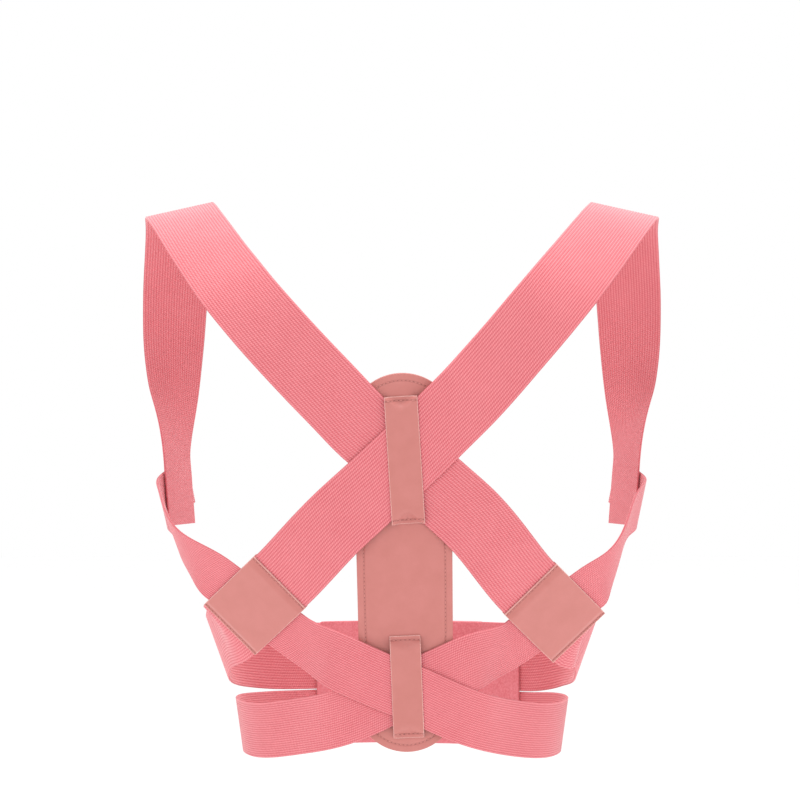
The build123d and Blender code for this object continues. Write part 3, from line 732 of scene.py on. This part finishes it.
# --- spine panel ---
def panel_edge():
    """The panel's outline as points and outward normals, from the top down the right half and up the left: a wide
    arc, a corner arc, a straight side that closes a little, and the same at the bottom."""
    corner = panel_corner_radius

    def end_arcs(half, radius, tip, sign):
        middle = tip - sign * radius
        corner_x = half - corner
        corner_z = middle + sign * math.sqrt((radius - corner) ** 2 - corner_x ** 2)
        meet = math.asin(corner_x / (radius - corner))
        wide = np.linspace(0.0, meet, 26)
        tight = np.linspace(meet, math.pi / 2.0, 12)[1:]
        angles = np.concatenate([wide, tight])
        centres = np.where(np.arange(37)[:, None] < 26, (0.0, middle), (corner_x, corner_z))
        reach = np.where(np.arange(37) < 26, radius, corner)[:, None]
        normals = np.stack([np.sin(angles), sign * np.cos(angles)], axis=1)
        return centres + normals * reach, normals

    top, top_normals = end_arcs(panel_top_width / 2.0, panel_top_radius, panel_length / 2.0, 1.0)
    bottom, bottom_normals = end_arcs(panel_bottom_width / 2.0, panel_bottom_radius, -panel_length / 2.0, -1.0)
    share = np.linspace(0.0, 1.0, 72)[1:-1, None]
    straight = top[-1] + (bottom[-1] - top[-1]) * share
    right = np.concatenate([top, straight, bottom[::-1]])
    normals = np.concatenate([top_normals, np.tile([1.0, 0.0], (70, 1)), bottom_normals[::-1]])
    mirror = np.array([-1.0, 1.0])
    return (np.concatenate([right, right[-2:0:-1] * mirror]),
            np.concatenate([normals, normals[-2:0:-1] * mirror]))


def on_panel_sheet(flat, height):
    """Points of the panel's own plane, turned by its roll and set on the back, at a height above the skin."""
    skin, outward = on_panel(*panel_centre, -panel_thickness)
    upright = np.cross(outward, [1.0, 0.0, 0.0])
    x = flat[..., 0] * math.cos(panel_roll) - flat[..., 1] * math.sin(panel_roll)
    z = flat[..., 0] * math.sin(panel_roll) + flat[..., 1] * math.cos(panel_roll)
    return skin + x[..., None] * np.array([1.0, 0.0, 0.0]) + z[..., None] * upright + height[..., None] * outward


panel_insets = np.array([0.0, 0.12, 0.35, 0.8, 1.6, 2.8, 3.8, 4.3, 4.6, 4.8, 5.0, 5.3, 5.8, 6.6, 8.0, 10.0])
panel_shrinks = np.array([0.12, 0.3, 0.5, 0.7, 0.88, 1.0])


foam_trim = 0.35             # how far the foam's edge is set in from the cover's
foam_clear = 0.04            # between the foam and what lies on it


def panel_rings(trim=0.0):
    """Rings of the panel's face from the edge inwards: first the outline moved in along its normals, then the last
    of those shrunk onto the panel's middle line. Gives the rings and each ring's distance from the edge."""
    outline, normals = panel_edge()
    near = outline[None] - normals[None] * (panel_insets + trim)[:, None, None]
    spine_reach = panel_length / 2.0 - 32.0
    spine = np.stack([np.zeros(len(outline)), np.clip(near[-1, :, 1], -spine_reach, spine_reach)], axis=1)
    far = near[-1][None] + (spine - near[-1])[None] * panel_shrinks[:, None, None]
    depths = np.concatenate([panel_insets, 10.0 + 20.0 * panel_shrinks])
    return np.concatenate([near, far]), depths


def panel_layer(name, top, bottom, rings, materials, seam_press_and_shade=None, crease=50.0):
    """A closed layer of the panel between two heights for each ring, with a wall at its edge. The innermost rings
    meet on the middle line, where doubled points are merged."""
    count, around = rings.shape[:2]
    upper = on_panel_sheet(rings, np.broadcast_to(top[:, None], (count, around)))
    lower = on_panel_sheet(rings, np.broadcast_to(bottom[:, None], (count, around)))
    index = np.arange(count * around).reshape(count, around)
    turned = np.roll(index, -1, axis=1)
    quads = np.stack([index[:-1], index[1:], turned[1:], turned[:-1]], axis=-1).reshape(-1, 4)
    wall = np.stack([turned[0], turned[0] + index.size, index[0] + index.size, index[0]], axis=-1)
    faces = np.concatenate([quads, quads[:, ::-1] + index.size, wall])
    finishes = np.zeros(len(faces), int)
    finishes[2 * len(quads):] = len(materials) - 1
    places = np.concatenate([upper.reshape(-1, 3), lower.reshape(-1, 3)])
    if seam_press_and_shade is not None:
        seam_press_and_shade = np.concatenate([np.broadcast_to(seam_press_and_shade[:, None], (count, around)).ravel(), np.zeros(index.size)])
    piece = build(name, places, faces, materials, finishes, None, seam_press_and_shade, crease)
    joined = bmesh.new()
    joined.from_mesh(piece.data)
    bmesh.ops.remove_doubles(joined, verts=joined.verts, dist=1e-6)
    bmesh.ops.recalc_face_normals(joined, faces=joined.faces)
    joined.to_mesh(piece.data)
    joined.free()
    return piece


def spine_panel():
    """The panel's cover with its pressed edge seam, the foam under it, and the lining against the back."""
    rings, depth = panel_rings()
    edge_drop = 0.55 * (1.0 - smooth_step((depth - 2.0) / 9.0))
    groove = 0.42 * np.exp(-((depth - panel_seam_inset) / 0.55) ** 2)
    top = panel_thickness - edge_drop - groove - rounded_edge(depth, 0.4)
    under = np.minimum(top - 0.5, panel_thickness - cover_thickness - edge_drop)
    # The seam's press also paints the cover darker along it: partly the pressed leather's own colour, partly painted
    # shade in the seam groove.
    seam_press_and_shade = 0.55 * np.exp(-((depth - panel_seam_inset) / 0.40) ** 2)
    cover = panel_layer("spine_panel_cover_leather", top, under, rings, [leather_face, leather_edge], seam_press_and_shade)
    fit_out(cover, "root", "rose_leather", "spine_panel_cover")
    foam_rings, depth = panel_rings(foam_trim)
    foam = panel_layer("spine_panel_core_foam", under - foam_clear,
                       np.full(len(depth), lining_thickness + foam_clear), foam_rings, [core_foam])
    fit_out(foam, "root", "foam", "spine_panel_foam")
    lining = panel_layer("spine_panel_lining_knit", np.full(len(depth), lining_thickness),
                         0.25 * np.exp(-((depth - panel_seam_inset) / 0.7) ** 2) + rounded_edge(depth, 0.3), rings,
                         [knit_lining])
    fit_out(lining, "root", "lining", "spine_panel_lining")
    outline, normals = panel_edge()
    seam = outline - normals * panel_seam_inset
    closed = np.concatenate([seam, seam[:1]])
    run = np.concatenate([[0.0], np.cumsum(np.linalg.norm(np.diff(closed, axis=0), axis=1))])
    count = int(round(run[-1] / seam_pitch))
    middle = (np.arange(count) + 0.5) * run[-1] / count
    reads = [np.stack([np.interp(middle + step, run, closed[:, k]) for k in range(2)], axis=-1)
             for step in (-0.6, 0.0, 0.6)]
    level = np.full(count, panel_thickness - 0.42 - 0.40)
    spots = [on_panel_sheet(read, level) for read in reads]
    outward = np.broadcast_to(on_panel(*panel_centre)[1], spots[1].shape)
    stitching("spine_panel_edge_thread", [(spots[1], unit(spots[2] - spots[0]), outward)], "root",
              "spine_panel_edge_stitching")


# --- leather strips and patches ---
def near_edge_places(half):
    """Offsets from -half to half that crowd towards both ends, for rounded edges."""
    fine = np.array([0.0, 0.07, 0.2, 0.42, 0.8, 1.5])
    middle = np.linspace(-half + 2.6, half - 2.6, max(4, int(half)))
    return np.concatenate([-half + fine, middle, half - fine[::-1]])


seam_rows = np.array([-0.9, -0.45, -0.2, 0.0, 0.2, 0.45, 0.9])     # rows of points across a pressed seam
press_width = 0.42
press_depth = 0.28
cut_edge_radius = 0.32
edge_cells = 3               # cells of the cut edge's own material, along the edges of the face


def leather_strip(name, route, width, start, end, seams, top, under, node):
    """A strip of leather along a route with rounded cut edges, pressed in along its seams. top and under give its
    outer and inner height at distances along the route."""
    spots = (np.array(seams, float)[:, None] + seam_rows).ravel()
    edge = np.array([0.0, 0.07, 0.2, 0.42, 0.8])
    distances = np.unique(np.round(np.concatenate([
        start + edge, end - edge, spots, np.linspace(start + 1.2, end - 1.2, int((end - start) / 1.1))]), 3))
    across = near_edge_places(width / 2.0)
    # The seams' press sets their depth and paints the leather darker along them, partly as painted shade in the
    # groove.
    seam_press_and_shade = np.zeros(len(distances))
    for spot in seams:
        seam_press_and_shade += np.exp(-((distances - spot) / press_width) ** 2)
    side_edge = rounded_edge(width / 2.0 - np.abs(across), cut_edge_radius)
    end_edge = rounded_edge(np.minimum(distances - start, end - distances), cut_edge_radius)
    edges = np.maximum(side_edge[None, :], end_edge[:, None])
    outer = top(distances)[:, None] - edges - press_depth * seam_press_and_shade[:, None]
    inner = under(distances)[:, None] + edges * 0.4
    piece = slab(name, carry(route, distances, across, outer), carry(route, distances, across, inner),
                 [leather_face, leather_edge], seam_press_and_shade=np.broadcast_to(0.6 * seam_press_and_shade[:, None], outer.shape),
                 raw=edge_cells)
    return fit_out(piece, "root", "rose_leather", node)


def keeper(name, size, place, spread):
    """A leather keeper. Its height is a smooth climb from the sewn end to the bridge over both straps, which starts
    sooner the further a point is from the middle line, so the corners rest on the straps' edges."""
    width, length = size
    x, z, lean = place
    base, outward = on_panel(x, z)
    turn = math.radians(lean)
    along = np.cross(outward, (1.0, 0.0, 0.0)) * math.cos(turn) - np.array([1.0, 0.0, 0.0]) * math.sin(turn)
    sideways = np.cross(along, outward)

    def place_at(across, reach, lift):
        off_middle = 1.25 * (np.hypot(across, 3.0) - 3.0)
        share = (length / 2.0 - np.abs(reach) - keeper_tab) / keeper_ramp + off_middle * spread
        height = keeper_lift * smooth_step(share) + glue_line + lift
        return base + along * reach[..., None] + sideways * across[..., None] + outward * height[..., None]

    seam = length / 2.0 - keeper_seam_inset
    ends = near_edge_places(length / 2.0)
    rows = np.unique(np.round(np.concatenate([ends, seam + seam_rows, -seam + seam_rows]), 3))
    columns = near_edge_places(width / 2.0)
    across, reach = np.meshgrid(columns, rows)
    # The seams' press sets their depth and paints the leather darker along them, partly as painted shade in the
    # groove.
    seam_press_and_shade = np.exp(-((np.abs(reach) - seam) / press_width) ** 2)
    edges = np.maximum(rounded_edge(width / 2.0 - np.abs(across), cut_edge_radius),
                       rounded_edge(length / 2.0 - np.abs(reach), cut_edge_radius))
    # The long cut edges curl up a little where the strip is not sewn.
    curl = 0.35 * (np.abs(across) / (width / 2.0)) ** 4 * smooth_step((seam - np.abs(reach)) / 12.0)
    strip = slab(name + "_leather", place_at(across, reach, leather - edges - press_depth * seam_press_and_shade - curl),
                 place_at(across, reach, edges * 0.4), [leather_face, leather_edge], seam_press_and_shade=0.6 * seam_press_and_shade,
                 raw=edge_cells)
    fit_out(strip, "root", "rose_leather", name)
    sewn = width - 2.4
    count = int(sewn / seam_pitch)
    middle = (np.arange(count) + 0.5) * sewn / count - sewn / 2.0
    lines = []
    for end in (-seam, seam):
        level = np.full(count, end)
        spots = [place_at(middle + step, level, leather - thread_dip) for step in (-0.5, 0.0, 0.5)]
        run = unit(spots[2] - spots[0])
        lines.append((spots[1], run, unit(np.cross(run, along))))
    stitching(name + "_thread", lines, "root", name + "_stitching")


def side_name(side):
    return "left" if side < 0 else "right"


def patch(side):
    """A square patch sewn to its backing along the two edges that cross the shoulder strap."""
    own = side_name(side)
    route = shoulder_routes[-side]
    centre = route.nearest(on_patch(side, 0.0, 0.0, patch_strap_lift)[0])
    start = centre - patch_along / 2.0
    end = centre + patch_along / 2.0
    bridge = patch_cover_lift - patch_strap_lift
    low = webbing + glue_line

    def under(run):
        inside = np.minimum(run - start, end - run)
        return low + (bridge - low) * smooth_step((inside - patch_seam) / 1.0)

    def top(run):
        inside = np.minimum(run - start, end - run)
        return low + leather + (bridge - low) * smooth_step((inside - 1.6) / 4.6)

    seams = [start + patch_seam / 2.0, end - patch_seam / 2.0]
    leather_strip("patch_cover_" + own, route, patch_across, start, end, seams, top, under, "patch_" + own)
    leather_strip("patch_lining_" + own, route, patch_across, start, end, [],
                  lambda run: np.full(len(run), -sewn_gap), lambda run: np.full(len(run), -sewn_gap - leather),
                  "patch_backing_" + own)
    half = patch_across / 2.0 - 1.6
    lines = [seam_line(route, (run, -half), (run, half), low + leather - thread_dip) for run in seams]
    stitching("patch_thread_" + own, lines, "root", "patch_stitching_" + own)


# --- straps ---
bend_start = side_line - 9.0     # y of the hinge line, behind which each strap is cut into two meshes


def strap(name, front_name, route, width, side, first, last, node, front_node):
    """One continuous strap in two meshes that meet behind the hinge line: the part on the back, which rides on the
    root, and the front band round the side, which is not attached to any body. The cut is far enough back for both
    its corners to be behind the bend."""
    hinge = route.at_side(side, bend_start)
    lean = width / 2.0 * abs(route.frames([hinge])[2][0, 1])
    cut = route.at_side(side, bend_start - 3.0 - lean)
    if first == "front":
        back_span, front_span = (cut, last), (0.0, cut)
    else:
        back_span, front_span = (0.0, cut), (cut, last)
    back = webbing_strip(name, route, *back_span, width)
    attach(back, "root")
    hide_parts(node)
    front = webbing_strip(front_name, route, *front_span, width, spacing=2.4)
    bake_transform(front)
    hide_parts(front_node)


def strap_pair(side):
    """The shoulder strap over one shoulder, the side strap from its armpit, and the seam that joins them."""
    own, other = side_name(side), side_name(-side)
    shoulder = shoulder_routes[side]
    band = band_routes[side]
    strap("shoulder_webbing_" + own, "upper_front_webbing_" + other, shoulder, strap_width, -side, "front",
          shoulder.length, "shoulder_strap_" + own, "upper_front_band_" + other)
    strap("side_webbing_" + own, "waist_front_webbing_" + other, band, band_width, -side, "back",
          band.length, "side_strap_" + own, "waist_front_band_" + other)
    lap = shoulder.nearest(band.read(band.places, band.nearest(
        shoulder.read(shoulder.places, shoulder.length - armpit_flat_down))))
    centre = band.nearest(shoulder.read(shoulder.places, lap))
    lines = box_seam(band, centre - strap_width / 2.0 + 5.0, centre + strap_width / 2.0 - 5.0, band_width / 2.0 - 5.0,
                     webbing - 0.1)
    stitching("armpit_thread_" + own, lines, "root", "armpit_stitching_" + own)


# --- front closure ---
def closure_sheet(name, start_x, end_x, height, low, high, materials, corner=5.0, edge=0.6):
    """A curved sheet of the closure: its half height shrinks along a quarter circle at each end, so that its corners
    are round, and its edges are rounded."""
    route = closure_route(start_x, end_x)
    fine = np.array([0.0, 0.1, 0.35, 0.8, 1.5, 2.5, 3.7, 5.0])
    middle = np.linspace(6.5, route.length - 6.5, int(route.length / 2.5))
    distances = np.concatenate([fine, middle, route.length - fine[::-1]])
    from_end = np.minimum(distances, route.length - distances)
    half = height / 2.0 - rounded_edge(from_end, corner)[:, None]
    across = near_edge_places(height / 2.0) / (height / 2.0) * half
    gap = np.minimum(half - np.abs(across), from_end[:, None])
    edges = rounded_edge(np.maximum(gap, 0.0), edge)
    weave = np.stack(np.broadcast_arrays(across, distances[:, None]), axis=-1)
    return slab(name, carry(route, distances, across, high - edges), carry(route, distances, across, low + edges),
                materials, weave=weave)


hook_base = 0.6              # how far the hook tape's base lies above the tips of its pins


def hook_pins(name, start_x, end_x, height, pitch=1.9, radius=0.22, rise=0.55):
    """Short four-sided pins in staggered rows, standing on the hook base and pointing at the loops. Each pin is a
    square carried from the base towards the body; every other row is moved along by half the pitch."""
    route = closure_route(start_x, end_x)
    rows, columns = int(height / pitch), int(route.length / pitch)
    row, column = (axis.ravel() for axis in np.indices((rows, columns)))
    run = (column + 0.25 + 0.5 * (row % 2)) * pitch
    across = (row + 0.5 - rows / 2.0) * pitch
    place, ahead, sideways, outward = route.frames(run)
    base = place + sideways * across[:, None] + outward * (hook_bottom + hook_base + 0.02)
    turns = np.arange(4) * math.pi / 2.0
    ring = ahead[:, None] * np.cos(turns)[:, None] + sideways[:, None] * np.sin(turns)[:, None]
    foot = base[:, None] + ring * radius
    tip = base[:, None] + ring * radius * 0.7 - outward[:, None] * rise
    corners = np.concatenate([foot, tip], axis=1).reshape(-1, 3)
    sides = np.array([(0, 1, 5, 4), (1, 2, 6, 5), (2, 3, 7, 6), (3, 0, 4, 7), (4, 5, 6, 7), (3, 2, 1, 0)])
    quads = (np.arange(len(base))[:, None, None] * 8 + sides).reshape(-1, 4)
    return build(name, corners, quads, [moulded_nylon])


def closure():
    """Inner panel with its loop face, outer panel with its flap end, which is not attached to any body, hook tape,
    and their seams.
    """
    left_outer = left_panel_lift + closure_fabric
    right = closure_sheet("closure_inner_cloth", right_panel_inner_edge, right_panel_outer_edge, closure_height,
                          0.0, closure_fabric, [closure_cloth])
    fit_out(right, "right_wing", "closure_fabric", "closure_panel_right")
    loops = closure_sheet("closure_loop_pile", right_panel_inner_edge + 2.0, flap_tip + 5.0, closure_height - 6.0,
                          loop_bottom, loop_bottom + loop_pile, [pile_cloth], edge=0.35)
    fit_out(loops, "right_wing", "loop_pile", "closure_loop_pad")
    left = closure_sheet("closure_outer_cloth", left_panel_outer_edge, flap_tip, closure_height,
                         left_panel_lift, left_outer, [closure_cloth])
    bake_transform(left)
    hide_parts("closure_panel_left", "closure_flap")
    hooks = closure_sheet("closure_hook_base", flap_root + 10.0, flap_tip - 3.0, closure_height - 10.0,
                          hook_bottom + hook_base, hook_bottom + hook_tape, [moulded_nylon], corner=2.0, edge=0.15)
    fit_out(hooks, "closure_flap", "hook_tape", "closure_hook_tape")
    pins = hook_pins("closure_hooks", flap_root + 13.0, flap_tip - 6.0, closure_height - 16.0)
    fit_out(pins, "closure_flap", "hook_tape", "closure_hook_tape")
    spans = ((right, right_panel_inner_edge, right_panel_outer_edge), (left, left_panel_outer_edge, flap_tip))
    for piece, start_x, end_x in spans:
        closure_route(start_x, end_x).length * MM
    for side in (-1, 1):
        lines = []
        for run in (3.0, band_lap - 3.0):
            half = strap_width / 2.0 - 2.0
            lines.append(seam_line(shoulder_routes[-side], (run, -half), (run, half), webbing - 0.1))
            half = band_width / 2.0 - 2.0
            along = band_routes[-side].length - run
            lines.append(seam_line(band_routes[-side], (along, -half), (along, half), webbing - 0.1))
        own = side_name(side)
        stitching("band_end_thread_" + own, lines, own + "_wing", "band_end_stitching_" + own)
    route = closure_route(flap_root + 10.0, flap_tip)
    lines = box_seam(route, 2.0, route.length - 4.5, closure_height / 2.0 - 6.5, left_outer - 0.05)
    stitching("hook_tape_thread", lines, "closure_flap", "hook_tape_stitching")


# --- the object ---
for hand in (-1, 1):
    strap_pair(hand)
    patch(hand)
for keeper_name, (keeper_size, keeper_place, keeper_spread) in keepers.items():
    keeper(keeper_name, keeper_size, keeper_place, keeper_spread)
spine_panel()
closure()
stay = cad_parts["spine_panel_stiffener"]
stay.data.materials.clear()
stay.data.materials.append(stay_plastic)

# --- studio ---
floor_level = -0.32          # metres, like all that follows
floor_reach = 8.0
lamps = (                    # name, place, size, watts
    ("key", (-0.9, -1.6, 1.3), 1.0, 6.5),
    ("fill", (1.2, -1.3, 0.3), 1.4, 2.0),
    ("left_side", (-1.6, -0.5, 0.4), 1.0, 2.8),
    ("right_side", (1.6, -0.5, 0.4), 1.0, 3.8),
    ("top", (0.0, 0.1, 1.5), 0.9, 20.0),
)
lamps_aim = np.array([0.0, 0.0, 0.18])
camera_place = (-0.00133, -1.990, 0.228)
camera_lens = 128.25         # millimetres, on a sensor 36 wide


def studio():
    """A pale floor well under the object, the lamps, and an even white surround."""
    floor_mesh = bpy.data.meshes.new("floor")
    turns = ((-1.0, -1.0), (1.0, -1.0), (1.0, 1.0), (-1.0, 1.0))
    floor_mesh.from_pydata([(x * floor_reach, y * floor_reach, floor_level) for x, y in turns], [], [(0, 1, 2, 3)])
    floor = bpy.data.objects.new("floor", floor_mesh)
    bpy.context.scene.collection.objects.link(floor)
    paint = new_material("matt_white_paint", {"Roughness": 1.0, "Base Color": linear("#FFFFFF")})[0]
    floor_mesh.materials.append(paint)
    world = bpy.data.worlds.new("white_surround")
    bpy.context.scene.world = world
    world.use_nodes = True
    background = world.node_tree.nodes["Background"]
    background.inputs["Color"].default_value = (1.0, 1.0, 1.0, 1.0)
    background.inputs["Strength"].default_value = 1.0
    for name, place, size, power in lamps:
        light = bpy.data.lights.new(name, "AREA")
        light.shape = "DISK"
        light.size = size
        light.energy = power
        lamp = bpy.data.objects.new(name, light)
        lamp.location = place
        direction = bpy.context.scene.cursor.location.copy()
        direction.xyz = lamps_aim - np.array(place)
        lamp.rotation_mode = "QUATERNION"
        lamp.rotation_quaternion = direction.to_track_quat("-Z", "Y")
        bpy.context.scene.collection.objects.link(lamp)


def camera():
    """A long lens straight behind the object, level with the shoulder blades."""
    data = bpy.data.cameras.new("camera")
    data.sensor_width = 36.0
    data.lens = camera_lens
    data.clip_start = 0.05
    data.clip_end = 50.0
    holder = bpy.data.objects.new("camera", data)
    holder.location = camera_place
    holder.rotation_euler = (math.pi / 2.0, 0.0, 0.0)
    bpy.context.scene.collection.objects.link(holder)
    bpy.context.scene.camera = holder


studio()
camera()
bpy.context.scene.view_settings.view_transform = "Standard"
bpy.context.view_layer.update()
